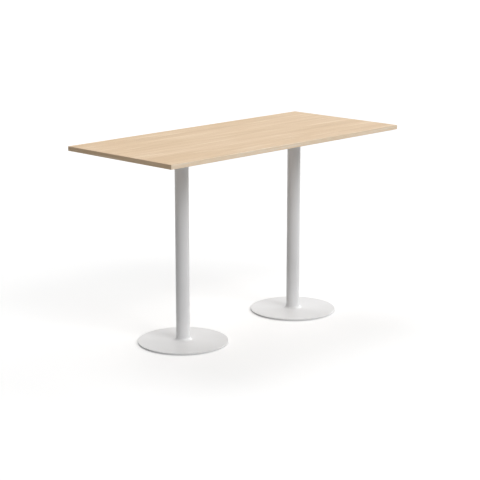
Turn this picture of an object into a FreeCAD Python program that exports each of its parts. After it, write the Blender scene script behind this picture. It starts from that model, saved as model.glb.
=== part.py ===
import FreeCAD
import Part
import math
import os

# A bar table: a laminated board top on two round pedestal stands. Millimetres, +Z up.
# The origin is on the floor, midway between the stands. X runs along the top, Y across it.

# Driving dimensions of the whole table
TABLE_HEIGHT = 1100.0
TOP_LENGTH = 1800.0
TOP_WIDTH = 800.0
TOP_THICKNESS = 25.0
STAND_SPACING = 900.0
COLUMN_DIAMETER = 76.0
BASE_DIAMETER = 500.0
FLOOR_GAP = 3.0

# Top board: core, two laminate sheets and the edge bands
LAMINATE_THICKNESS = 0.8
EDGE_BAND_THICKNESS = 2.0
EDGE_ROUNDING = 1.5

# Mounting plate under the top, its long side across the table
PLATE_LENGTH = 480.0
PLATE_WIDTH = 180.0
PLATE_THICKNESS = 5.0
PLATE_CORNER_RADIUS = 20.0
PLATE_EDGE_MARGIN = 20.0
SCREWS_PER_ROW = 4

# Button-head screws (M6) and the threaded inserts in the board that take them
SCREW_DIAMETER = 6.0
SCREW_LENGTH = 16.0
SCREW_HEAD_DIAMETER = 10.5
SCREW_HEAD_HEIGHT = 3.3
SCREW_SOCKET_WIDTH = 4.0
SCREW_HOLE_DIAMETER = 6.6
INSERT_DIAMETER = 9.8
INSERT_LENGTH = 13.0
INSERT_RECESS = 0.2
INSERT_RIDGES = 5
INSERT_RIDGE_DEPTH = 0.6
INSERT_HOLE_DEPTH = 15.0

# Column tube and the tapped discs welded into its ends
COLUMN_WALL = 2.0
END_DISC_THICKNESS = 12.0
END_DISC_GAP = 0.1

# Countersunk bolts (M8) that hold the end discs to the plate and to the weight
BOLT_DIAMETER = 8.0
BOLT_HEAD_DIAMETER = 16.4
BOLT_HEAD_LAND = 0.4
BOLT_HEAD_RECESS = 0.2
BOLT_SOCKET_WIDTH = 5.0
BOLT_CIRCLE_DIAMETER = 46.0
BOLTS_PER_DISC = 4
PLATE_BOLT_LENGTH = 14.0
BASE_BOLT_LENGTH = 18.0
BOLT_HOLE_DIAMETER = 9.0
BOLT_END_CHAMFER = 0.8
SOCKET_DEPTH = 2.5

# Base: a steel weight under a cover spun from sheet
WEIGHT_DIAMETER = 488.0
WEIGHT_THICKNESS = 8.0
COVER_SHEET = 1.2
COVER_EDGE_RADIUS = 2.0
COVER_LAND_RADIUS = 232.0
COVER_SLOPE_DEGREES = 0.8
COVER_NECK_GAP = 0.3
COVER_FLARE_RADIUS = 17.0
COVER_NECK_HEIGHT = 5.0

# Levelling feet: a threaded stud (M8) in a moulded pad
FEET_PER_BASE = 4
FOOT_CIRCLE_DIAMETER = 380.0
FOOT_FIRST_ANGLE = 45.0
STUD_DIAMETER = 8.0
PAD_DIAMETER = 36.0
PAD_TOP_GAP = 0.2
PAD_CHAMFER = 0.8
PAD_FLOOR = 1.0
PAD_GRIPS = 12
PAD_GRIP_RADIUS = 3.0
PAD_GRIP_DEPTH = 1.4

# Clearance on the radius of every thread and shank in its hole
THREAD_GAP = 0.05

# Heights that follow from the sizes above
TOP_UNDERSIDE = TABLE_HEIGHT - TOP_THICKNESS
CORE_BOTTOM = TOP_UNDERSIDE + LAMINATE_THICKNESS
CORE_TOP = TABLE_HEIGHT - LAMINATE_THICKNESS
PLATE_BOTTOM = TOP_UNDERSIDE - PLATE_THICKNESS
WEIGHT_TOP = FLOOR_GAP + WEIGHT_THICKNESS
COVER_RIM_TOP = WEIGHT_TOP + COVER_SHEET
PAD_THICKNESS = FLOOR_GAP - PAD_TOP_GAP
STANDS = {"left": -STAND_SPACING / 2, "right": STAND_SPACING / 2}


def at(x, y, z):
    return FreeCAD.Vector(x, y, z)


def rod(diameter, bottom, top, x=0.0, y=0.0):
    """A cylinder standing on the XY plane's grid, from one height to another."""
    return Part.makeCylinder(diameter / 2, top - bottom, at(x, y, bottom))


def block(size_x, size_y, bottom, top):
    """A box centred on the Z axis."""
    return Part.makeBox(size_x, size_y, top - bottom, at(-size_x / 2, -size_y / 2, bottom))


def line(start, end):
    return Part.LineSegment(at(start[0], 0, start[1]), at(end[0], 0, end[1])).toShape()


def arc(start, middle, end):
    return Part.Arc(*[at(radius, 0, height) for radius, height in (start, middle, end)]).toShape()


def turned(edges):
    """A solid turned about Z from a closed outline in the XZ plane."""
    return Part.Face(Part.Wire(edges)).revolve(at(0, 0, 0), at(0, 0, 1), 360)


def turned_polygon(corners):
    """A solid turned about Z from the (radius, height) corners of a straight-sided outline."""
    return turned([line(a, b) for a, b in zip(corners, corners[1:] + corners[:1])])


def ring_places(diameter, count, first_angle=0.0):
    """The (x, y) places of evenly spaced pieces on a circle about Z."""
    angles = [math.radians(first_angle + 360.0 * step / count) for step in range(count)]
    return [(diameter / 2 * math.cos(angle), diameter / 2 * math.sin(angle)) for angle in angles]


def hex_socket(width, bottom, top):
    """The hexagonal hollow for a key, measured across its flats."""
    places = ring_places(width / math.cos(math.pi / 6), 6)
    corners = [at(x, y, bottom) for x, y in places]
    return Part.Face(Part.makePolygon(corners + corners[:1])).extrude(at(0, 0, top - bottom))


def copies(shape, places, height=0.0):
    """Separate copies of one piece, kept together as a group."""
    return Part.makeCompound([shape.translated(at(x, y, height)) for x, y in places])


def screw_places():
    """Two rows of screws, one along each long side of the mounting plate."""
    row_x = PLATE_WIDTH / 2 - PLATE_EDGE_MARGIN
    reach_y = PLATE_LENGTH / 2 - PLATE_EDGE_MARGIN
    pitch = 2 * reach_y / (SCREWS_PER_ROW - 1)
    return [(side * row_x, -reach_y + pitch * step) for side in (-1, 1) for step in range(SCREWS_PER_ROW)]


def bolt_places():
    return ring_places(BOLT_CIRCLE_DIAMETER, BOLTS_PER_DISC)


def foot_places():
    return ring_places(FOOT_CIRCLE_DIAMETER, FEET_PER_BASE, FOOT_FIRST_ANGLE)


def insert_holes(bottom, top):
    """The holes bored into the board for the threaded inserts of both stands."""
    diameter = INSERT_DIAMETER + 2 * THREAD_GAP
    return [rod(diameter, bottom, top, stand + x, y) for stand in STANDS.values() for x, y in screw_places()]


def edge_bands():
    """The four strips round the board, cut from one board with all its arrises rounded."""
    board = block(TOP_LENGTH, TOP_WIDTH, TOP_UNDERSIDE, TABLE_HEIGHT)
    board = board.makeFillet(EDGE_ROUNDING, board.Edges)
    inner_length = TOP_LENGTH - 2 * EDGE_BAND_THICKNESS
    inner_width = TOP_WIDTH - 2 * EDGE_BAND_THICKNESS
    long_strip = block(TOP_LENGTH, EDGE_BAND_THICKNESS, TOP_UNDERSIDE, TABLE_HEIGHT)
    short_strip = block(EDGE_BAND_THICKNESS, inner_width, TOP_UNDERSIDE, TABLE_HEIGHT)
    shift_y = (inner_width + EDGE_BAND_THICKNESS) / 2
    shift_x = (inner_length + EDGE_BAND_THICKNESS) / 2
    return {
        "edge_band_front": board.common(long_strip.translated(at(0, -shift_y, 0))),
        "edge_band_rear": board.common(long_strip.translated(at(0, shift_y, 0))),
        "edge_band_left": board.common(short_strip.translated(at(-shift_x, 0, 0))),
        "edge_band_right": board.common(short_strip.translated(at(shift_x, 0, 0))),
    }


def board_layer(bottom, top):
    """One layer of the board, inside the edge bands."""
    length = TOP_LENGTH - 2 * EDGE_BAND_THICKNESS
    width = TOP_WIDTH - 2 * EDGE_BAND_THICKNESS
    return block(length, width, bottom, top)


def top_pieces():
    hole_top = TOP_UNDERSIDE + INSERT_HOLE_DEPTH
    core = board_layer(CORE_BOTTOM, CORE_TOP)
    underside = board_layer(TOP_UNDERSIDE, CORE_BOTTOM)
    pieces = {
        "top_core": core.cut(insert_holes(CORE_BOTTOM, hole_top)),
        "top_laminate": board_layer(CORE_TOP, TABLE_HEIGHT),
        "underside_laminate": underside.cut(insert_holes(TOP_UNDERSIDE, CORE_BOTTOM)),
    }
    pieces.update(edge_bands())
    return pieces


def thread_insert():
    """A ridged sleeve pressed into the board, threaded inside for a screw."""
    outer = INSERT_DIAMETER / 2
    bore = SCREW_DIAMETER / 2 + THREAD_GAP
    pitch = INSERT_LENGTH / INSERT_RIDGES
    corners = [(bore, 0.0)]
    for ridge in range(INSERT_RIDGES):
        corners.append((outer, ridge * pitch))
        corners.append((outer - INSERT_RIDGE_DEPTH, (ridge + 1) * pitch))
    corners.append((bore, INSERT_LENGTH))
    return turned_polygon(corners)


def button_head_screw():
    """A screw pointing up, with the bearing face of its head at height zero."""
    shank = SCREW_DIAMETER / 2
    head = SCREW_HEAD_DIAMETER / 2
    crown = head / 2
    rim = -SCREW_HEAD_HEIGHT / 6
    shoulder = (head * 0.85, -SCREW_HEAD_HEIGHT * 0.64)
    tip = shank - BOLT_END_CHAMFER
    screw = turned([
        line((0, -SCREW_HEAD_HEIGHT), (crown, -SCREW_HEAD_HEIGHT)),
        arc((crown, -SCREW_HEAD_HEIGHT), shoulder, (head, rim)),
        line((head, rim), (head, 0)),
        line((head, 0), (shank, 0)),
        line((shank, 0), (shank, SCREW_LENGTH - BOLT_END_CHAMFER)),
        line((shank, SCREW_LENGTH - BOLT_END_CHAMFER), (tip, SCREW_LENGTH)),
        line((tip, SCREW_LENGTH), (0, SCREW_LENGTH)),
        line((0, SCREW_LENGTH), (0, -SCREW_HEAD_HEIGHT)),
    ])
    return screw.cut(hex_socket(SCREW_SOCKET_WIDTH, -SCREW_HEAD_HEIGHT, SOCKET_DEPTH - SCREW_HEAD_HEIGHT))


def countersink(gap):
    """The conical seat of a bolt head, opening downwards at height zero and widened by a gap."""
    head = BOLT_HEAD_DIAMETER / 2 + gap
    shank = BOLT_DIAMETER / 2
    land = BOLT_HEAD_RECESS + BOLT_HEAD_LAND
    return turned_polygon([(0, 0), (head, 0), (head, land), (shank, land + head - shank), (0, land + head - shank)])


def countersunk_bolt(length):
    """A bolt pointing up, with the flat of its head at height zero."""
    head = BOLT_HEAD_DIAMETER / 2
    shank = BOLT_DIAMETER / 2
    tip = shank - BOLT_END_CHAMFER
    bolt = turned_polygon([
        (0, 0),
        (head, 0),
        (head, BOLT_HEAD_LAND),
        (shank, BOLT_HEAD_LAND + head - shank),
        (shank, length - BOLT_END_CHAMFER),
        (tip, length),
        (0, length),
    ])
    return bolt.cut(hex_socket(BOLT_SOCKET_WIDTH, 0, SOCKET_DEPTH))


def turned_over(shape, height):
    """A piece that points down from a height instead of up from zero."""
    upside_down = shape.copy()
    upside_down.rotate(at(0, 0, 0), at(1, 0, 0), 180)
    return upside_down.translated(at(0, 0, height))


def mounting_plate():
    plate = block(PLATE_WIDTH, PLATE_LENGTH, PLATE_BOTTOM, TOP_UNDERSIDE)
    upright = [edge for edge in plate.Edges if abs(edge.tangentAt(edge.FirstParameter).z) > 0.5]
    plate = plate.makeFillet(PLATE_CORNER_RADIUS, upright)
    holes = [rod(SCREW_HOLE_DIAMETER, PLATE_BOTTOM, TOP_UNDERSIDE, x, y) for x, y in screw_places()]
    seat = turned_over(countersink(THREAD_GAP), TOP_UNDERSIDE)
    for x, y in bolt_places():
        holes.append(rod(BOLT_HOLE_DIAMETER, PLATE_BOTTOM, TOP_UNDERSIDE, x, y))
        holes.append(seat.translated(at(x, y, 0)))
    return plate.cut(holes)


def column_tube():
    tube = rod(COLUMN_DIAMETER, WEIGHT_TOP, PLATE_BOTTOM)
    return tube.cut(rod(COLUMN_DIAMETER - 2 * COLUMN_WALL, WEIGHT_TOP, PLATE_BOTTOM))


def end_disc(bottom):
    """A thick disc welded into one end of the column, tapped for the bolts."""
    top = bottom + END_DISC_THICKNESS
    disc = rod(COLUMN_DIAMETER - 2 * COLUMN_WALL - 2 * END_DISC_GAP, bottom, top)
    return disc.cut([rod(BOLT_DIAMETER + 2 * THREAD_GAP, bottom, top, x, y) for x, y in bolt_places()])


def cover_side(inset):
    """One face of the spun cover, from the foot of its rim to the top of its neck.

    The face lies inside the cover's outer face by the inset, which is zero or the sheet's thickness.
    """
    slope = math.radians(COVER_SLOPE_DEGREES)
    rim = BASE_DIAMETER / 2 - inset
    land = COVER_RIM_TOP - inset
    edge_centre = (BASE_DIAMETER / 2 - COVER_EDGE_RADIUS, COVER_RIM_TOP - COVER_EDGE_RADIUS)
    edge_radius = COVER_EDGE_RADIUS - inset
    edge_middle = [centre + edge_radius * math.sqrt(0.5) for centre in edge_centre]
    cone_foot = (COVER_LAND_RADIUS - inset * math.tan(slope / 2), land)

    neck = COLUMN_DIAMETER / 2 + COVER_NECK_GAP + COVER_SHEET - inset
    flare_x = neck + inset + COVER_FLARE_RADIUS
    cone_height = COVER_RIM_TOP + (COVER_LAND_RADIUS - flare_x) * math.tan(slope)
    flare_z = cone_height + COVER_FLARE_RADIUS / math.cos(slope)
    flare_radius = COVER_FLARE_RADIUS + inset
    flare_foot = (flare_x - flare_radius * math.sin(slope), flare_z - flare_radius * math.cos(slope))
    turn = math.radians(45 + COVER_SLOPE_DEGREES / 2)
    flare_middle = (flare_x - flare_radius * math.sin(turn), flare_z - flare_radius * math.cos(turn))
    neck_top = flare_z + COVER_NECK_HEIGHT
    return [
        line((rim, FLOOR_GAP), (rim, edge_centre[1])),
        arc((rim, edge_centre[1]), edge_middle, (edge_centre[0], land)),
        line((edge_centre[0], land), cone_foot),
        line(cone_foot, flare_foot),
        arc(flare_foot, flare_middle, (neck, flare_z)),
        line((neck, flare_z), (neck, neck_top)),
    ], (rim, FLOOR_GAP), (neck, neck_top)


def base_cover():
    """The cover's sheet between its two faces, closed at the rim's foot and at the neck's top."""
    outer, outer_foot, outer_top = cover_side(0.0)
    inner, inner_foot, inner_top = cover_side(COVER_SHEET)
    closed = outer + [line(outer_top, inner_top)] + inner + [line(inner_foot, outer_foot)]
    return turned(Part.sortEdges(closed)[0])


def base_weight():
    weight = rod(WEIGHT_DIAMETER, FLOOR_GAP, WEIGHT_TOP)
    tapped = STUD_DIAMETER + 2 * THREAD_GAP
    holes = [rod(tapped, FLOOR_GAP, WEIGHT_TOP, x, y) for x, y in foot_places()]
    seat = countersink(THREAD_GAP)
    for x, y in bolt_places():
        holes.append(rod(BOLT_HOLE_DIAMETER, FLOOR_GAP, WEIGHT_TOP, x, y))
        holes.append(seat.translated(at(x, y, FLOOR_GAP)))
    return weight.cut(holes)


def foot_stud():
    """The stud stands in the pad and ends level with the top of the weight."""
    radius = STUD_DIAMETER / 2
    tip = radius - BOLT_END_CHAMFER
    shoulder = WEIGHT_TOP - BOLT_END_CHAMFER
    return turned_polygon([
        (0, PAD_FLOOR),
        (radius, PAD_FLOOR),
        (radius, shoulder),
        (tip, WEIGHT_TOP),
        (0, WEIGHT_TOP),
    ])


def foot_pad():
    """A moulded disc with finger grips round its edge and a blind hole for the stud."""
    outer = PAD_DIAMETER / 2
    hole = STUD_DIAMETER / 2 + THREAD_GAP
    pad = turned_polygon([
        (0, 0),
        (outer - PAD_CHAMFER, 0),
        (outer, PAD_CHAMFER),
        (outer, PAD_THICKNESS),
        (hole, PAD_THICKNESS),
        (hole, PAD_FLOOR),
        (0, PAD_FLOOR),
    ])
    grip_circle = PAD_DIAMETER + 2 * (PAD_GRIP_RADIUS - PAD_GRIP_DEPTH)
    places = ring_places(grip_circle, PAD_GRIPS)
    return pad.cut([rod(2 * PAD_GRIP_RADIUS, 0, PAD_THICKNESS, x, y) for x, y in places])


def stand_pieces():
    """The pieces of one stand, about its own axis."""
    plate_bolt = turned_over(countersunk_bolt(PLATE_BOLT_LENGTH), TOP_UNDERSIDE - BOLT_HEAD_RECESS)
    base_bolt = countersunk_bolt(BASE_BOLT_LENGTH)
    pieces = {
        "mounting_plate": mounting_plate(),
        "thread_inserts": copies(thread_insert(), screw_places(), TOP_UNDERSIDE + INSERT_RECESS),
        "top_screws": copies(button_head_screw(), screw_places(), PLATE_BOTTOM),
        "plate_bolts": copies(plate_bolt, bolt_places()),
        "column_tube": column_tube(),
        "column_top_disc": end_disc(PLATE_BOTTOM - END_DISC_THICKNESS),
        "column_foot_disc": end_disc(WEIGHT_TOP),
        "base_cover": base_cover(),
        "base_weight": base_weight(),
        "base_bolts": copies(base_bolt, bolt_places(), FLOOR_GAP + BOLT_HEAD_RECESS),
    }
    for number, (x, y) in enumerate(foot_places(), start=1):
        pieces[f"foot_stud_{number}"] = foot_stud().translated(at(x, y, 0))
        pieces[f"foot_pad_{number}"] = foot_pad().translated(at(x, y, 0))
    return pieces


def table_pieces():
    pieces = top_pieces()
    for side, stand in STANDS.items():
        for name, shape in stand_pieces().items():
            pieces[f"{side}_{name}"] = shape.translated(at(stand, 0, 0))
    return pieces


os.makedirs("parts", exist_ok=True)
for node, solid in table_pieces().items():
    solid.exportStep(f"parts/{node}.step")
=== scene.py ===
import math
import bmesh
import bpy
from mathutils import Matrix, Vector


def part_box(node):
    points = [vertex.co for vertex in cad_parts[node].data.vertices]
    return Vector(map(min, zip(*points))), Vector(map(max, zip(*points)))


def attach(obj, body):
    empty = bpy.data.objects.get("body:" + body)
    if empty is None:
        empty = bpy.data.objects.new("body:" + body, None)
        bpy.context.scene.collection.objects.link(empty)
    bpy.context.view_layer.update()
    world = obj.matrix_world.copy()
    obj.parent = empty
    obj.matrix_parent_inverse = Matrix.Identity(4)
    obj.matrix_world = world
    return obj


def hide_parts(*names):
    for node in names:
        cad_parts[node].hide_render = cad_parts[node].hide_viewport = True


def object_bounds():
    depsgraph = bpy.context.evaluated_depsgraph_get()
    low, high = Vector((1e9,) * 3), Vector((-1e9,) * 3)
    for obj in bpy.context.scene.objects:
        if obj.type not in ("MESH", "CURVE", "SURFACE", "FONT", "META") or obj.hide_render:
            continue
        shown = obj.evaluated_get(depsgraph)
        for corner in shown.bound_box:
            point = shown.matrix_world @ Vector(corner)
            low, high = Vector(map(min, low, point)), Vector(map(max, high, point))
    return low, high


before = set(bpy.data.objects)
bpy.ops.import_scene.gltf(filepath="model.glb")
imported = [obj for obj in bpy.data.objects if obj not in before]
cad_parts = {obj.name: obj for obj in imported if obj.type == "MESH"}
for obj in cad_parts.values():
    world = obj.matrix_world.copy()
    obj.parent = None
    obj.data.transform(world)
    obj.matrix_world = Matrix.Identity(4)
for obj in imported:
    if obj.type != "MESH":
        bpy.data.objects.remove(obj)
cad_low, cad_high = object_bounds()


# Base weights. A disc flame-cut from steel plate lies at the foot of each stand, hidden by the cover.
# It is primed black, tapped near its rim for the feet and countersunk in the middle for the bolts.
SIDES = ("left", "right")
PRIMER_TONES = [(0.25, (0.016, 0.016, 0.017, 1)), (0.75, (0.040, 0.039, 0.038, 1))]
PRIMER_RUBBED = (0.16, 0.155, 0.15, 1)
PRIMER_RUB_REACH = 0.004
PRIMER_ROUGHNESS = (0.62, 0.44)
PRIMER_GRIT = {"depth": 0.0002, "strength": 0.5}
NOISE_SPAN = (0.3, 0.7)
RUB_OPENNESS = (0.97, 0.72)
RUB_PATCHES = (0.38, 0.62)
RUB_LEAST = 0.15


def new_finish(name):
    """A material with a surface shader, and the node tree that its detail goes into."""
    finish = bpy.data.materials.new(name)
    finish.use_nodes = True
    return finish, finish.node_tree


def feed(tree, node, inputs):
    """Links a node's inputs to sockets, or else sets them to values."""
    for name, value in inputs.items():
        if isinstance(value, bpy.types.NodeSocket):
            tree.links.new(value, node.inputs[name])
        else:
            node.inputs[name].default_value = value


def add(tree, kind, inputs, **options):
    """Adds a node, with its options set and its inputs fed."""
    node = tree.nodes.new("ShaderNode" + kind)
    for option, value in options.items():
        setattr(node, option, value)
    feed(tree, node, inputs)
    return node


def stretched(tree, scale, shift=(0, 0, 0)):
    """The piece's own coordinates in metres, multiplied along each axis and then shifted."""
    place = add(tree, "TexCoord", {})
    inputs = {"Vector": place.outputs["Object"], "Scale": scale, "Location": shift}
    return add(tree, "Mapping", inputs).outputs["Vector"]


def noise(tree, vector, detail, roughness=0.5, distortion=0.0):
    """A cloudy factor between nought and one."""
    inputs = {"Vector": vector, "Scale": 1.0, "Detail": detail}
    inputs.update({"Roughness": roughness, "Distortion": distortion})
    return add(tree, "TexNoise", inputs).outputs["Fac"]


def ramp(tree, factor, stops):
    """Colours along a factor, from (position, colour) stops in rising order."""
    node = add(tree, "ValToRGB", {"Fac": factor})
    elements = node.color_ramp.elements
    for position, _ in stops[2:]:
        elements.new(position)
    for element, (position, colour) in zip(elements, stops):
        element.position = position
        element.color = colour
    return node.outputs["Color"]


def spread(tree, value, low, high, to_low, to_high):
    """Carries a factor's range from low to high over to another range, held at its ends."""
    inputs = {"Value": value, "From Min": low, "From Max": high, "To Min": to_low, "To Max": to_high}
    return add(tree, "MapRange", inputs).outputs["Result"]


def bump(tree, height, depth, strength):
    """A relief from a height between nought and one: its depth in metres, sunk if that is negative."""
    inputs = {"Height": height, "Distance": depth, "Strength": strength}
    return add(tree, "Bump", inputs).outputs["Normal"]


def worn(tree, reach, patches):
    """How far an arris has rubbed, from nought to one: patchily, where the piece is thinner than a reach."""
    thin = add(tree, "AmbientOcclusion", {"Distance": reach}, samples=8, inside=True, only_local=True)
    rubbed = spread(tree, thin.outputs["AO"], *RUB_OPENNESS, 0.0, 1.0)
    patchy = spread(tree, patches, *RUB_PATCHES, RUB_LEAST, 1.0)
    return add(tree, "Math", {0: rubbed, 1: patchy}, operation="MULTIPLY").outputs[0]


def blend_colours(tree, factor, under, over):
    """One colour laid over another by a factor."""
    return add(tree, "Mix", {0: factor, 6: under, 7: over}, data_type="RGBA").outputs[2]


def lay_on(tree, colour, roughness, relief):
    """Feeds a finish's colour, roughness and relief to its surface shader."""
    surface = tree.nodes["Principled BSDF"]
    feed(tree, surface, {"Base Color": colour, "Roughness": roughness, "Normal": relief})
    return surface


def dress(piece, finish):
    """Gives a piece one finish all over."""
    piece.data.materials.clear()
    piece.data.materials.append(finish)


primer, tree = new_finish("black_primer")
mottle = noise(tree, stretched(tree, (9, 9, 9)), detail=6)
grit = noise(tree, stretched(tree, (900, 900, 900)), detail=2)
rub = worn(tree, PRIMER_RUB_REACH, mottle)
rubbed = blend_colours(tree, rub, ramp(tree, mottle, PRIMER_TONES), PRIMER_RUBBED)
sheen = spread(tree, mottle, *NOISE_SPAN, *PRIMER_ROUGHNESS)
lay_on(tree, rubbed, sheen, bump(tree, grit, **PRIMER_GRIT))
for side in SIDES:
    dress(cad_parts[f"{side}_base_weight"], primer)


# Levelling pads. Four to a stand, moulded in dark nylon, each on the foot of its stud.
# Hollows round the edge give the fingers a hold, and a shallow groove rings the face on the floor.
NEAR = 1e-6
PAD_RADIUS = 0.018
PAD_HEIGHT = 0.0028
PAD_SIDES = 372
PAD_GRIPS = 12
PAD_GRIP_RADIUS = 0.003
PAD_GRIP_DEPTH = 0.0014
PAD_GROOVE_RADIUS = 0.0105
PAD_GROOVE_WIDTH = 0.0015
PAD_GROOVE_DEPTH = 0.0005
PAD_HOLE_RADIUS = 0.00405
PAD_HOLE_DEPTH = 0.00185
PAD_ROUNDING = 0.0005
PAD_GROOVE_ROUNDING = 0.00015
PAD_ROUNDING_STEPS = 3
FEET = [(side, number) for side in SIDES for number in (1, 2, 3, 4)]
NYLON_TONES = [(0.3, (0.038, 0.038, 0.040, 1)), (0.7, (0.058, 0.058, 0.060, 1))]
NYLON_SCUFFED = (0.30, 0.30, 0.30, 1)
NYLON_SCUFF_REACH = 0.0014
NYLON_SCUFF_SPAN = (0.35, 0.7)
NYLON_ROUGHNESS = (0.38, 0.66)
NYLON_MOULDING = {"depth": 0.00008, "strength": 0.6}


def begin(name, primitive, **sizes):
    """Adds a primitive with nothing else selected and opens it for editing."""
    bpy.ops.object.select_all(action="DESELECT")
    primitive(**sizes)
    piece = bpy.context.object
    piece.name = name
    piece.data.name = name
    bpy.ops.object.mode_set(mode="EDIT")
    return piece


def pick(piece, kind, wanted):
    """Selects the faces or edges that pass a test on them and on their middle, in edit mode."""
    bpy.ops.mesh.select_all(action="DESELECT")
    bpy.ops.mesh.select_mode(type={"edges": "EDGE", "faces": "FACE"}[kind])
    mesh = bmesh.from_edit_mesh(piece.data)
    for element in getattr(mesh, kind):
        corners = element.verts
        middle = sum((corner.co for corner in corners), corners[0].co * 0) / len(corners)
        if wanted(element, middle):
            element.select_set(True)
    mesh.select_flush_mode()
    bmesh.update_edit_mesh(piece.data)


def smooth(below):
    """Shades the selected piece smooth where its faces meet at less than an angle in degrees."""
    bpy.ops.object.shade_smooth_by_angle(angle=math.radians(below))


def end(piece, smooth_below=30.0):
    """Closes a piece: normals outwards, its place in its mesh, smooth where its faces meet gently."""
    bpy.ops.mesh.select_all(action="SELECT")
    bpy.ops.mesh.remove_doubles(threshold=NEAR)
    bpy.ops.mesh.normals_make_consistent(inside=False)
    bpy.ops.object.mode_set(mode="OBJECT")
    bpy.ops.object.transform_apply(location=True, rotation=True, scale=True)
    smooth(below=smooth_below)
    return piece


def select_only(pieces):
    """Selects some pieces and nothing else, with the first as the active one."""
    bpy.ops.object.select_all(action="DESELECT")
    for piece in pieces:
        piece.select_set(True)
    bpy.context.view_layer.objects.active = pieces[0]


def modify(piece, kind, **settings):
    """Adds a modifier and applies it."""
    select_only([piece])
    modifier = piece.modifiers.new(kind.lower(), kind)
    for setting, value in settings.items():
        setattr(modifier, setting, value)
    bpy.ops.object.modifier_apply(modifier=modifier.name)


def copy_to(piece, name, place):
    """A copy with a mesh of its own, whose place is in that mesh."""
    select_only([piece])
    bpy.ops.object.duplicate(linked=False)
    copy = bpy.context.object
    copy.name = name
    copy.data.name = name
    copy.location = place
    bpy.ops.object.transform_apply(location=True, rotation=True, scale=True)
    return copy


def middle_of(node):
    """The middle of a node's box, on the floor."""
    low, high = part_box(node)
    return ((low.x + high.x) / 2, (low.y + high.y) / 2, 0)


pad = begin("pad", bpy.ops.mesh.primitive_cylinder_add, vertices=PAD_SIDES, radius=PAD_RADIUS,
            depth=PAD_HEIGHT, location=(0, 0, PAD_HEIGHT / 2))
half = PAD_HEIGHT / 2
flat_share = math.cos(math.pi / PAD_SIDES)
groove_outside = PAD_GROOVE_RADIUS + PAD_GROOVE_WIDTH
for level, radii in ((-half, (groove_outside, PAD_GROOVE_RADIUS)), (half, (PAD_HOLE_RADIUS,))):
    pick(pad, "faces", lambda face, middle: abs(middle.z - level) < NEAR)
    at_radius = PAD_RADIUS
    for radius in radii:
        bpy.ops.mesh.inset(thickness=(at_radius - radius) * flat_share, depth=0)
        at_radius = radius
pick(pad, "faces", lambda face, middle: middle.z > half - NEAR and len(face.verts) == PAD_SIDES)
bpy.ops.mesh.extrude_region_move(TRANSFORM_OT_translate={"value": (0, 0, -PAD_HOLE_DEPTH)})


def on_groove(face, middle):
    """The ring of faces between the groove's two edges."""
    reach = max(corner.co.xy.length for corner in face.verts)
    return middle.z < -half + NEAR and len(face.verts) == 4 and abs(reach - groove_outside) < 100 * NEAR


pick(pad, "faces", on_groove)
bpy.ops.mesh.extrude_region_move(TRANSFORM_OT_translate={"value": (0, 0, PAD_GROOVE_DEPTH)})
end(pad)
grip_centre = PAD_RADIUS + PAD_GRIP_RADIUS - PAD_GRIP_DEPTH
grip_step = 2 * math.pi / PAD_GRIPS
for corner in pad.data.vertices:
    angle = math.atan2(corner.co.y, corner.co.x)
    aside = angle - grip_step * round(angle / grip_step)
    inside = PAD_GRIP_RADIUS ** 2 - (grip_centre * math.sin(aside)) ** 2
    if inside > 0 and corner.co.xy.length > PAD_RADIUS - NEAR:
        hollow = grip_centre * math.cos(aside) - math.sqrt(inside)
        corner.co.xy *= min(1.0, hollow / PAD_RADIUS)


def on_rim(edge, middle):
    """The two outlines of the pad, hollows and all."""
    level = min(middle.z, PAD_HEIGHT - middle.z) < NEAR
    return level and min(corner.co.xy.length for corner in edge.verts) > PAD_RADIUS - 2 * PAD_GRIP_DEPTH


def on_groove_mouth(edge, middle):
    """The groove's two edges on the face that stands on the floor."""
    radii = sorted(corner.co.xy.length for corner in edge.verts)
    on_edge = min(abs(radii[0] - PAD_GROOVE_RADIUS), abs(radii[0] - groove_outside)) < 10 * NEAR
    return middle.z < NEAR and radii[1] - radii[0] < 10 * NEAR and on_edge


for wanted, rounding in ((on_rim, PAD_ROUNDING), (on_groove_mouth, PAD_GROOVE_ROUNDING)):
    bpy.ops.object.mode_set(mode="EDIT")
    pick(pad, "edges", wanted)
    bpy.ops.mesh.bevel(offset=rounding, segments=PAD_ROUNDING_STEPS, affect="EDGES", clamp_overlap=False)
    end(pad, smooth_below=40.0)
modify(pad, "WEIGHTED_NORMAL", keep_sharp=True)

nylon, tree = new_finish("dark_nylon")
cloud = noise(tree, stretched(tree, (60, 60, 60)), detail=5)
scuff = noise(tree, stretched(tree, (300, 900, 300)), detail=4, distortion=1.5)
moulding = noise(tree, stretched(tree, (2500, 2500, 2500)), detail=2)
rub = worn(tree, NYLON_SCUFF_REACH, scuff)
scuffed = blend_colours(tree, rub, ramp(tree, cloud, NYLON_TONES), NYLON_SCUFFED)
sheen = spread(tree, scuff, *NYLON_SCUFF_SPAN, *NYLON_ROUGHNESS)
lay_on(tree, scuffed, sheen, bump(tree, moulding, **NYLON_MOULDING))
dress(pad, nylon)
for side, number in FEET:
    node = f"{side}_foot_pad_{number}"
    foot_pad = copy_to(pad, f"{side}_levelling_pad_{number}", middle_of(node))
    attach(foot_pad, f"{side}_foot_{number}_pad")
    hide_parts(node)
bpy.data.objects.remove(pad)


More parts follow.
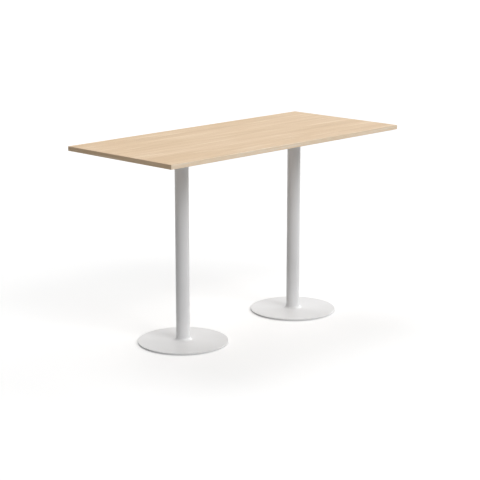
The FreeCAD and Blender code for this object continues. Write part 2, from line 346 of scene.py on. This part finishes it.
# Levelling studs. Bright zinc-plated steel with a rolled M8 thread, moulded into the pad at the foot.
# Each screws up into its tapped hole in the weight, and turning it by the pad levels the stand.
STUD_RADIUS = 0.004
STUD_LOW = 0.0010
STUD_HIGH = 0.0110
STUD_SIDES = 48
THREAD_PITCH = 0.00125
THREAD_DEPTH = 0.00055
THREAD_RINGS = 80
THREAD_FLANK = 2.6
ZINC_TONES = [(0.25, (0.50, 0.52, 0.56, 1)), (0.6, (0.62, 0.63, 0.64, 1)), (0.85, (0.66, 0.64, 0.58, 1))]
ZINC_RUBBED = (0.78, 0.78, 0.77, 1)
ZINC_RUB_REACH = 0.0008
ZINC_ROUGHNESS = (0.29, 0.44)
ZINC_SCRATCHES = {"depth": 0.00003, "strength": 0.4}

stud = begin("stud", bpy.ops.mesh.primitive_cylinder_add, vertices=STUD_SIDES, radius=STUD_RADIUS,
             depth=STUD_HIGH - STUD_LOW, location=(0, 0, (STUD_LOW + STUD_HIGH) / 2))
pick(stud, "edges", lambda edge, middle: abs(middle.z) < NEAR)
bpy.ops.mesh.subdivide(number_cuts=THREAD_RINGS)
end(stud, smooth_below=50.0)
for corner in stud.data.vertices:
    turn = math.atan2(corner.co.y, corner.co.x) / (2 * math.pi)
    phase = ((corner.co.z - STUD_LOW) / THREAD_PITCH - turn) % 1.0
    lead = min(1.0, (STUD_HIGH - corner.co.z) / THREAD_PITCH, (corner.co.z - STUD_LOW) / THREAD_PITCH)
    ridge = min(1.0, THREAD_FLANK * abs(phase - 0.5) * lead)
    if corner.co.xy.length > STUD_RADIUS / 2:
        corner.co.xy *= (STUD_RADIUS - THREAD_DEPTH * (1 - ridge)) / corner.co.xy.length

zinc, tree = new_finish("bright_zinc")
bloom = noise(tree, stretched(tree, (180, 180, 180)), detail=5, distortion=0.6)
scratch = noise(tree, stretched(tree, (2200, 2200, 300)), detail=3)
rub = worn(tree, ZINC_RUB_REACH, scratch)
rubbed = blend_colours(tree, rub, ramp(tree, bloom, ZINC_TONES), ZINC_RUBBED)
sheen = spread(tree, scratch, *NOISE_SPAN, *ZINC_ROUGHNESS)
surface = lay_on(tree, rubbed, sheen, bump(tree, scratch, **ZINC_SCRATCHES))
surface.inputs["Metallic"].default_value = 1.0
dress(stud, zinc)
for side, number in FEET:
    node = f"{side}_foot_stud_{number}"
    foot_stud = copy_to(stud, f"{side}_threaded_stud_{number}", middle_of(node))
    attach(foot_stud, f"{side}_foot_{number}_stud")
    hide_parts(node)
bpy.data.objects.remove(stud)


# Columns. A round steel tube stands on each weight, with a tapped disc welded into its foot and top.
# The tube is sprayed with white powder and baked, which leaves a fine even orange peel.
TUBE_RADIUS = 0.038
TUBE_WALL = 0.002
TUBE_LOW = 0.011
TUBE_HIGH = 1.070
TUBE_END_ROUNDING = 0.0006
TUBE_END_STEPS = 3
TUBE_SIDES = 128
TUBE_RINGS = 24
STAND_X = {side: middle_of(f"{side}_column_tube")[0] for side in SIDES}
POWDER_TONES = [(0.3, (0.820, 0.822, 0.826, 1)), (0.7, (0.860, 0.862, 0.866, 1))]
POWDER_THIN = (0.66, 0.66, 0.655, 1)
POWDER_THIN_REACH = 0.0011
POWDER_THIN_SHARE = 0.45
POWDER_ROUGHNESS = (0.29, 0.35)
POWDER_PEEL = {"depth": 0.00014, "strength": 0.35}
STEEL_TONES = [(0.3, (0.30, 0.30, 0.31, 1)), (0.7, (0.46, 0.46, 0.46, 1))]
STEEL_ROUGHNESS = (0.36, 0.55)
STEEL_MARKS = {"depth": 0.00008, "strength": 0.5}


def raise_rings(stations):
    """Extrudes the selected ring of edges through (radius, height) stations about the Z axis."""
    radius, height = stations[0]
    for next_radius, next_height in stations[1:]:
        bpy.ops.mesh.extrude_edges_move(TRANSFORM_OT_translate={"value": (0, 0, next_height - height)})
        share = next_radius / radius
        bpy.ops.transform.resize(value=(share, share, 1), center_override=(0, 0, next_height))
        radius = next_radius
        height = next_height


def turned(name, sides, stations):
    """A ring-shaped piece turned from a closed outline of (radius, height) stations."""
    radius, height = stations[0]
    piece = begin(name, bpy.ops.mesh.primitive_circle_add, vertices=sides, radius=radius,
                  location=(0, 0, height))
    raise_rings(stations)
    bpy.ops.object.mode_set(mode="OBJECT")
    bpy.ops.object.mode_set(mode="EDIT")
    pick(piece, "edges", lambda edge, middle: edge.is_boundary)
    bpy.ops.mesh.bridge_edge_loops()
    return piece


def arc(centre, radius, first, last, steps):
    """Stations along an arc, with angles in degrees from the outward direction."""
    angles = [math.radians(first + (last - first) * step / steps) for step in range(steps + 1)]
    return [(centre[0] + radius * math.cos(angle), centre[1] + radius * math.sin(angle)) for angle in angles]


inner = TUBE_RADIUS - TUBE_WALL
bend = TUBE_END_ROUNDING
low_edge = arc((TUBE_RADIUS - bend, TUBE_LOW + bend), bend, -90, 0, TUBE_END_STEPS)
high_edge = arc((TUBE_RADIUS - bend, TUBE_HIGH - bend), bend, 0, 90, TUBE_END_STEPS)
span = TUBE_HIGH - TUBE_LOW - 2 * bend
wall = [(TUBE_RADIUS, TUBE_LOW + bend + span * step / TUBE_RINGS) for step in range(1, TUBE_RINGS)]
outline = [(inner, TUBE_LOW)] + low_edge + wall + high_edge + [(inner, TUBE_HIGH)]
tube = end(turned("tube", TUBE_SIDES, outline))

powder, tree = new_finish("white_powder_coat")
cloud = noise(tree, stretched(tree, (5, 5, 5)), detail=4)
peel = noise(tree, stretched(tree, (330, 330, 330)), detail=0.6, roughness=0.4)
knocks = noise(tree, stretched(tree, (45, 45, 45)), detail=5, roughness=0.65)
thin_share = spread(tree, worn(tree, POWDER_THIN_REACH, knocks), 0.0, 1.0, 0.0, POWDER_THIN_SHARE)
coat = blend_colours(tree, thin_share, ramp(tree, cloud, POWDER_TONES), POWDER_THIN)
sheen = spread(tree, peel, *NOISE_SPAN, *POWDER_ROUGHNESS)
lay_on(tree, coat, sheen, bump(tree, peel, **POWDER_PEEL))
dress(tube, powder)
for side in SIDES:
    column = copy_to(tube, f"{side}_column", (STAND_X[side], 0, 0))
    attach(column, "table")
    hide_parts(f"{side}_column_tube")
bpy.data.objects.remove(tube)

sawn, tree = new_finish("sawn_steel")
saw_marks = noise(tree, stretched(tree, (1400, 60, 200)), detail=4)
steel = ramp(tree, saw_marks, STEEL_TONES)
sheen = spread(tree, saw_marks, *NOISE_SPAN, *STEEL_ROUGHNESS)
surface = lay_on(tree, steel, sheen, bump(tree, saw_marks, **STEEL_MARKS))
surface.inputs["Metallic"].default_value = 1.0
for side in SIDES:
    dress(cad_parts[f"{side}_column_foot_disc"], sawn)
    dress(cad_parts[f"{side}_column_top_disc"], sawn)


# Base bolts. Zinc-plated countersunk bolts with hexagon sockets go up through each weight.
# They pull the column's foot disc down on it, and their heads lie flush with its underside.
for side in SIDES:
    dress(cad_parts[f"{side}_base_bolts"], zinc)


# Base covers. Each is one sheet of steel spun to a very shallow cone with a turned-down rim.
# A hollow flare turns up round the column's foot, and the powder coat is the column's own.
COVER_RADIUS = 0.250
COVER_LOW = 0.003
COVER_TOP = 0.0122
COVER_SHEET = 0.0012
COVER_EDGE_BEND = 0.002
COVER_LAND_RADIUS = 0.232
COVER_SLOPE = math.radians(0.8)
COVER_NECK_RADIUS = 0.0395
COVER_FLARE = 0.017
COVER_NECK_RISE = 0.0050
COVER_SIDES = 192
COVER_EDGE_STEPS = 8
COVER_CONE_STEPS = 8
COVER_FLARE_STEPS = 12


def cover_face(inset):
    """One face of the sheet from the rim's foot to the neck's top, inset from the outer face."""
    edge_centre = (COVER_RADIUS - COVER_EDGE_BEND, COVER_TOP - COVER_EDGE_BEND)
    flare_x = COVER_NECK_RADIUS + COVER_FLARE
    cone_top = COVER_TOP + (COVER_LAND_RADIUS - flare_x) * math.tan(COVER_SLOPE)
    flare_z = cone_top + COVER_FLARE / math.cos(COVER_SLOPE)
    rim = [(COVER_RADIUS - inset, COVER_LOW)]
    edge = arc(edge_centre, COVER_EDGE_BEND - inset, 0, 90, COVER_EDGE_STEPS)
    flare_start = 270 - math.degrees(COVER_SLOPE)
    flare = arc((flare_x, flare_z), COVER_FLARE + inset, flare_start, 180, COVER_FLARE_STEPS)
    land_x = COVER_LAND_RADIUS - inset * math.tan(COVER_SLOPE / 2)
    land_z = COVER_TOP - inset
    run_x = flare[0][0] - land_x
    run_z = flare[0][1] - land_z
    cone = [(land_x + run_x * step / COVER_CONE_STEPS, land_z + run_z * step / COVER_CONE_STEPS)
            for step in range(COVER_CONE_STEPS)]
    neck = [(COVER_NECK_RADIUS - inset, flare_z + COVER_NECK_RISE)]
    return rim + edge + cone + flare + neck


outline = cover_face(0.0) + cover_face(COVER_SHEET)[::-1]
cover = end(turned("cover", COVER_SIDES, outline), smooth_below=40.0)
dress(cover, powder)
for side in SIDES:
    base_cover = copy_to(cover, f"{side}_spun_cover", (STAND_X[side], 0, 0))
    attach(base_cover, "table")
    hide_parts(f"{side}_base_cover")
bpy.data.objects.remove(cover)


# Mounting plates. Laser-cut steel, powder-coated with the column and bolted down to its top disc.
# A row of screw holes runs along each long side, and the arrises are softened by the coat.
PLATE_LENGTH = 0.480
PLATE_WIDTH = 0.180
PLATE_LOW = 1.070
PLATE_HIGH = 1.075
PLATE_CORNER = 0.020
PLATE_CORNER_STEPS = 12
PLATE_ARRIS = 0.0006
PLATE_ARRIS_STEPS = 3
PLATE_MARGIN = 0.020
SCREW_HOLE_RADIUS = 0.0033
SCREW_HOLE_SIDES = 48
SCREW_HOLE_CUT = 0.02
SCREWS_IN_ROW = 4
row_x = PLATE_WIDTH / 2 - PLATE_MARGIN
row_reach = PLATE_LENGTH / 2 - PLATE_MARGIN
row_pitch = 2 * row_reach / (SCREWS_IN_ROW - 1)
row_y = [-row_reach + row_pitch * step for step in range(SCREWS_IN_ROW)]
SCREW_PLACES = [(x, y, 0) for x in (-row_x, row_x) for y in row_y]


def cut_out(piece, cutter):
    """Takes a cutter's shape out of a piece."""
    bpy.ops.object.mode_set(mode="OBJECT")
    modify(piece, "BOOLEAN", object=cutter, operation="DIFFERENCE", solver="EXACT")
    bpy.data.objects.remove(cutter)


def join(pieces):
    """Joins pieces into one."""
    select_only(pieces)
    bpy.ops.object.join()
    return bpy.context.object


hole = begin("hole", bpy.ops.mesh.primitive_cylinder_add, vertices=SCREW_HOLE_SIDES,
             radius=SCREW_HOLE_RADIUS, depth=SCREW_HOLE_CUT, location=(0, 0, PLATE_LOW))
end(hole)
holes = join([copy_to(hole, f"hole_{step}", place) for step, place in enumerate(SCREW_PLACES)])
bpy.data.objects.remove(hole)
plate = begin("plate", bpy.ops.mesh.primitive_cube_add, size=1,
              location=(0, 0, (PLATE_LOW + PLATE_HIGH) / 2),
              scale=(PLATE_WIDTH, PLATE_LENGTH, PLATE_HIGH - PLATE_LOW))
end(plate)
bpy.ops.object.mode_set(mode="EDIT")
pick(plate, "edges", lambda edge, middle: abs(edge.verts[0].co.z - edge.verts[1].co.z) > NEAR)
bpy.ops.mesh.bevel(offset=PLATE_CORNER, segments=PLATE_CORNER_STEPS, affect="EDGES")
cut_out(end(plate), holes)
modify(plate, "BEVEL", width=PLATE_ARRIS, segments=PLATE_ARRIS_STEPS, limit_method="ANGLE",
       angle_limit=math.radians(50))
smooth(below=40.0)
modify(plate, "WEIGHTED_NORMAL", keep_sharp=True)
dress(plate, powder)
for side in SIDES:
    mounting = copy_to(plate, f"{side}_laser_cut_plate", (STAND_X[side], 0, 0))
    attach(mounting, "table")
    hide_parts(f"{side}_mounting_plate")
    dress(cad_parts[f"{side}_plate_bolts"], zinc)
bpy.data.objects.remove(plate)


# Top core. A particle board, pressed from wood chips and resin, bored from below for the inserts.
# Laminate and edge bands close it in on every side.
CHIP_TONES = [(0.1, (0.30, 0.19, 0.10, 1)), (0.5, (0.47, 0.33, 0.19, 1)), (0.9, (0.60, 0.45, 0.28, 1))]
CHIP_ROUGHNESS = 0.85
CHIP_RELIEF = {"depth": 0.0004, "strength": 0.6}

board, tree = new_finish("particle_board")
chips = add(tree, "TexVoronoi", {"Vector": stretched(tree, (160, 320, 700)), "Scale": 1.0})
chip_colour = ramp(tree, chips.outputs["Color"], CHIP_TONES)
lay_on(tree, chip_colour, CHIP_ROUGHNESS, bump(tree, chips.outputs["Distance"], **CHIP_RELIEF))
dress(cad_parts["top_core"], board)


# Laminate sheets. Melamine paper printed with pale straight-grained oak, pressed on both faces.
# The grain runs along the table, with long pale streaks and a fine pore relief.
SHEET_LENGTH = 1.796
SHEET_WIDTH = 0.796
SHEET_THICKNESS = 0.0008
SHEET_ARRIS = 0.00025
SHEET_ARRIS_STEPS = 2
OAK_GROUND = [
    (0.30, (0.690, 0.492, 0.300, 1)),
    (0.50, (0.752, 0.551, 0.350, 1)),
    (0.70, (0.800, 0.600, 0.402, 1)),
]
OAK_STREAK = (0.870, 0.690, 0.495, 1)
OAK_FLECK = (0.905, 0.740, 0.550, 1)
OAK_LINE = (0.620, 0.425, 0.250, 1)
OAK_PORE = (0.450, 0.290, 0.155, 1)
# A paler arris colour: rubbed wear and a painted highlight on the rounding together.
OAK_RUBBED_AND_HIGHLIT = (0.880, 0.730, 0.560, 1)
OAK_PALEST = 0.92
OAK_GLOSS = 0.28
OAK_ROUGHNESS = (0.46, 0.56)
OAK_PORE_RELIEF = {"depth": -0.00006, "strength": 0.6}
OAK_RUB_AND_HIGHLIGHT_REACH = 0.0011
SHEET_PRINT = {"fineness": 1.0, "painted_light_tint": (1, 1, 1), "line_share": 0.60, "rub_and_highlight_share": 0.0}


def oak_print(name, along_x, fineness, painted_light_tint, line_share, rub_and_highlight_share):
    """The printed oak with its grain along X or else Y, and how close and lined it is, how far painted light
    or painted shade tints it, and how far its arrises are rubbed and painted highlit.
    """
    finish, tree = new_finish(name)

    def with_painted_light(colour):
        """A colour of the print made paler for painted light or darker for painted shade, with its hue kept
        where it is palest.
        """
        lifted = [channel * share for channel, share in zip(colour, painted_light_tint)]
        held = min(1.0, OAK_PALEST / max(lifted))
        return tuple(channel * held for channel in lifted) + (1,)

    def grain(along, across, shift=(0, 0, 0)):
        """Coordinates stretched along the grain."""
        close = across * fineness
        return stretched(tree, (along, close, close) if along_x else (close, along, close), shift)

    tone = noise(tree, grain(1.2, 14), detail=4, roughness=0.55, distortion=0.4)
    growth = noise(tree, grain(1.1, 120), detail=5, roughness=0.62, distortion=0.5)
    streaks = noise(tree, grain(1.9, 58, (3.1, 7.7, 0)), detail=1.5, roughness=0.4)
    flecks = noise(tree, grain(4.2, 230, (1.7, 0, 5.3)), detail=1, roughness=0.4)
    pores = noise(tree, grain(70, 1500 / fineness), detail=2, roughness=0.6)
    ring = spread(tree, growth, 0.48, 0.74, 0.0, line_share)
    streak = spread(tree, streaks, 0.61, 0.69, 0.0, 0.90)
    fleck = spread(tree, flecks, 0.66, 0.74, 0.0, 0.85)
    pits = spread(tree, pores, 0.58, 0.70, 0.0, 1.0)
    pitted = spread(tree, growth, 0.40, 0.65, 0.15, 0.75)
    dashes = add(tree, "Math", {0: pits, 1: pitted}, operation="MULTIPLY").outputs[0]
    # Every colour of the print goes through the painted light tint: neutral on the sheets, paler on the long
    # bands as painted light.
    colour = ramp(tree, tone, [(position, with_painted_light(stop)) for position, stop in OAK_GROUND])
    for share, over in ((ring, OAK_LINE), (streak, OAK_STREAK), (fleck, OAK_FLECK), (dashes, OAK_PORE)):
        colour = blend_colours(tree, share, colour, with_painted_light(over))
    # The rounded arrises are lightened: partly rubbed wear, partly a painted highlight along the rounding.
    if rub_and_highlight_share:
        rub = spread(tree, worn(tree, OAK_RUB_AND_HIGHLIGHT_REACH, growth), 0.0, 1.0, 0.0, rub_and_highlight_share)
        colour = blend_colours(tree, rub, colour, with_painted_light(OAK_RUBBED_AND_HIGHLIT))
    sheen = spread(tree, growth, *NOISE_SPAN, *OAK_ROUGHNESS)
    surface = lay_on(tree, colour, sheen, bump(tree, dashes, **OAK_PORE_RELIEF))
    surface.inputs["Specular IOR Level"].default_value = OAK_GLOSS
    return finish


oak_along = oak_print("oak_laminate", True, **SHEET_PRINT)
sheet = begin("top_oak_sheet", bpy.ops.mesh.primitive_cube_add, size=1,
              location=(0, 0, cad_high.z - SHEET_THICKNESS / 2),
              scale=(SHEET_LENGTH, SHEET_WIDTH, SHEET_THICKNESS))
end(sheet)
modify(sheet, "BEVEL", width=SHEET_ARRIS, segments=SHEET_ARRIS_STEPS, limit_method="ANGLE")
smooth(below=40.0)
modify(sheet, "WEIGHTED_NORMAL", keep_sharp=True)
dress(sheet, oak_along)
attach(sheet, "table")
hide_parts("top_laminate")
dress(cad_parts["underside_laminate"], oak_along)


# Edge bands. Plastic strip two millimetres thick, printed with the same oak and glued on hot, with painted
# light and shade in the print: paler on the long bands, darker on the short ones.
# Its long arrises are milled round after gluing, and the long bands cover the ends of the short ones.
BAND_THICKNESS = 0.002
BAND_ROUNDING = 0.0015
BAND_ROUNDING_STEPS = 5
BAND_LOW = 1.075
# Painted light: the long bands' print is made paler than the sheet's, as if their faces were well lit, front
# and rear alike.
LONG_BAND_PAINTED_LIT = {"fineness": 2.2, "painted_light_tint": (1.17, 1.28, 1.46), "line_share": 0.60, "rub_and_highlight_share": 0.55}
# Painted shade: the short bands' print has heavier grain lines that darken it, partly the print's own lines
# and partly painted shade on the ends.
SHORT_BAND_PAINTED_SHADE = {"fineness": 1.3, "painted_light_tint": (0.99, 0.99, 1.01), "line_share": 1.0, "rub_and_highlight_share": 0.55}
oak_long_painted_lit = oak_print("oak_edge_long_painted_lit", True, **LONG_BAND_PAINTED_LIT)
oak_short_painted_shade = oak_print("oak_edge_short_painted_shade", False, **SHORT_BAND_PAINTED_SHADE)
length = cad_high.x - cad_low.x
width = cad_high.y - cad_low.y
short_width = width - 2 * BAND_THICKNESS
BANDS = {
    "front": ((0, cad_low.y + BAND_THICKNESS / 2), (length, BAND_THICKNESS), oak_long_painted_lit),
    "rear": ((0, cad_high.y - BAND_THICKNESS / 2), (length, BAND_THICKNESS), oak_long_painted_lit),
    "left": ((cad_low.x + BAND_THICKNESS / 2, 0), (BAND_THICKNESS, short_width), oak_short_painted_shade),
    "right": ((cad_high.x - BAND_THICKNESS / 2, 0), (BAND_THICKNESS, short_width), oak_short_painted_shade),
}


def on_outline(edge, middle):
    """The arrises that show: those on the outline of the whole top."""
    on_x = abs(abs(middle.x) - cad_high.x) < 10 * NEAR
    on_y = abs(abs(middle.y) - cad_high.y) < 10 * NEAR
    on_z = min(abs(middle.z - cad_high.z), abs(middle.z - BAND_LOW)) < 10 * NEAR
    return on_x + on_y + on_z >= 2


for side, ((x, y), (size_x, size_y), finish) in BANDS.items():
    band = begin(f"{side}_oak_strip", bpy.ops.mesh.primitive_cube_add, size=1,
                 location=(x, y, (BAND_LOW + cad_high.z) / 2),
                 scale=(size_x, size_y, cad_high.z - BAND_LOW))
    end(band)
    bpy.ops.object.mode_set(mode="EDIT")
    pick(band, "edges", on_outline)
    bpy.ops.mesh.bevel(offset=BAND_ROUNDING, segments=BAND_ROUNDING_STEPS, affect="EDGES")
    end(band, smooth_below=40.0)
    modify(band, "WEIGHTED_NORMAL", keep_sharp=True)
    dress(band, finish)
    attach(band, "table")
    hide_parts(f"edge_band_{side}")


# Top screws. Zinc-plated button-head screws with hexagon sockets, up through the mounting plates.
# They draw the board down on the plates by the ridged inserts pressed into it.
SCREW_HEAD_RADIUS = 0.00525
SCREW_HEAD_HEIGHT = 0.0033
SCREW_DOME = 0.8 * SCREW_HEAD_HEIGHT
SCREW_DOME_STEPS = 8
SCREW_RADIUS = 0.003
SCREW_LENGTH = 0.016
SCREW_SIDES = 48
SOCKET_WIDTH = 0.004
SOCKET_DEPTH = 0.002
head_half = SCREW_HEAD_HEIGHT / 2

socket = begin("socket", bpy.ops.mesh.primitive_cylinder_add, vertices=6,
               radius=SOCKET_WIDTH / math.sqrt(3), depth=2 * SOCKET_DEPTH,
               location=(0, 0, PLATE_LOW - SCREW_HEAD_HEIGHT))
end(socket)
screw = begin("screw", bpy.ops.mesh.primitive_cylinder_add, vertices=SCREW_SIDES,
              radius=SCREW_HEAD_RADIUS, depth=SCREW_HEAD_HEIGHT, location=(0, 0, PLATE_LOW - head_half))
pick(screw, "faces", lambda face, middle: middle.z > head_half - NEAR)
bpy.ops.mesh.inset(thickness=SCREW_HEAD_RADIUS - SCREW_RADIUS)
bpy.ops.mesh.extrude_region_move(TRANSFORM_OT_translate={"value": (0, 0, SCREW_LENGTH)})
pick(screw, "edges", lambda edge, middle: abs(middle.z + head_half) < NEAR)
bpy.ops.mesh.bevel(offset=SCREW_DOME, segments=SCREW_DOME_STEPS, affect="EDGES")
cut_out(end(screw, smooth_below=35.0), socket)
smooth(below=35.0)
dress(screw, zinc)
for side in SIDES:
    name = f"{side}_button_head_screws"
    places = [(STAND_X[side] + x, y, 0) for x, y, _ in SCREW_PLACES]
    screws = join([copy_to(screw, f"{name}_{step}", place) for step, place in enumerate(places)])
    screws.name = name
    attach(screws, "table")
    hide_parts(f"{side}_top_screws")
    dress(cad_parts[f"{side}_thread_inserts"], zinc)
bpy.data.objects.remove(screw)


# Studio. A plain pale floor that runs out into a white background, with a low even light all round.
# Four soft lamps: in front of the table, at its front left, at its right, and high up behind it.
FLOOR_SIZE = 200.0
FLOOR_SEEN = 0.72
FLOOR_BOUNCE = 0.45
FLOOR_GLOW = 0.41
SKY_LIGHT = 0.137
LAMP_PLACE = (0, 0, 4)
LAMPS = {
    "front_lamp": {"strength": 1.115, "tilt": 55.0, "turn": 0.0, "spread": 30.0},
    "left_lamp": {"strength": 0.487, "tilt": 40.0, "turn": -30.0, "spread": 30.0},
    "right_lamp": {"strength": 1.858, "tilt": 65.0, "turn": 85.0, "spread": 70.0},
    "rear_lamp": {"strength": 0.695, "tilt": 25.0, "turn": 170.0, "spread": 30.0},
}
bpy.ops.object.select_all(action="DESELECT")
bpy.ops.mesh.primitive_plane_add(size=FLOOR_SIZE)
floor = bpy.context.object
floor.name = "floor"


def seen(tree):
    """One for the rays that show the background: straight from the camera, mirrored or through glass."""
    path = add(tree, "LightPath", {}).outputs
    straight = {0: path["Is Camera Ray"], 1: path["Is Glossy Ray"]}
    mirrored = add(tree, "Math", straight, operation="MAXIMUM").outputs[0]
    through = {0: mirrored, 1: path["Is Transmission Ray"]}
    return add(tree, "Math", through, operation="MAXIMUM").outputs[0]


pale, tree = new_finish("pale_floor")
output = tree.nodes["Material Output"]
tree.nodes.remove(tree.nodes["Principled BSDF"])
shown = seen(tree)
matt = add(tree, "BsdfDiffuse", {"Color": spread(tree, shown, 0.0, 1.0, FLOOR_BOUNCE, FLOOR_SEEN)})
glow_strength = spread(tree, shown, 0.0, 1.0, 0.0, FLOOR_GLOW)
glow = add(tree, "Emission", {"Color": (1, 1, 1, 1), "Strength": glow_strength})
upper = add(tree, "AddShader", {0: matt.outputs[0], 1: glow.outputs[0]})
clear = add(tree, "BsdfTransparent", {})
facing = add(tree, "NewGeometry", {})
faces = {"Fac": facing.outputs["Backfacing"], 1: upper.outputs[0], 2: clear.outputs[0]}
both_sides = add(tree, "MixShader", faces)
tree.links.new(both_sides.outputs[0], output.inputs["Surface"])
dress(floor, pale)

world = bpy.data.worlds.new("studio")
bpy.context.scene.world = world
world.use_nodes = True
tree = world.node_tree
sky = tree.nodes["Background"]
sky.inputs["Color"].default_value = (1, 1, 1, 1)
tree.links.new(spread(tree, seen(tree), 0.0, 1.0, SKY_LIGHT, 1.0), sky.inputs["Strength"])

for name, lamp in LAMPS.items():
    aim = (math.radians(lamp["tilt"]), 0, math.radians(lamp["turn"]))
    bpy.ops.object.light_add(type="SUN", location=LAMP_PLACE, rotation=aim)
    light = bpy.context.object
    light.name = name
    light.data.angle = math.radians(lamp["spread"])
    light.data.energy = lamp["strength"]


# Camera. It stands in front and to the left of the table, over a metre above the top, and looks down
# at it through a long lens.
CAMERA_PLACE = (-5.714, -5.534, 2.384)
CAMERA_SENSOR = 36.0
CAMERA_LENS = 108.45
CAMERA_TURN = 45.918
CAMERA_DIP = 13.319
bpy.ops.object.camera_add(location=CAMERA_PLACE)
camera = bpy.context.object
camera.name = "camera"
camera.data.sensor_width = CAMERA_SENSOR
camera.data.lens = CAMERA_LENS
camera.rotation_euler = (math.radians(90 - CAMERA_DIP), 0, -math.radians(CAMERA_TURN))
bpy.context.scene.camera = camera
bpy.context.scene.view_settings.view_transform = "Standard"
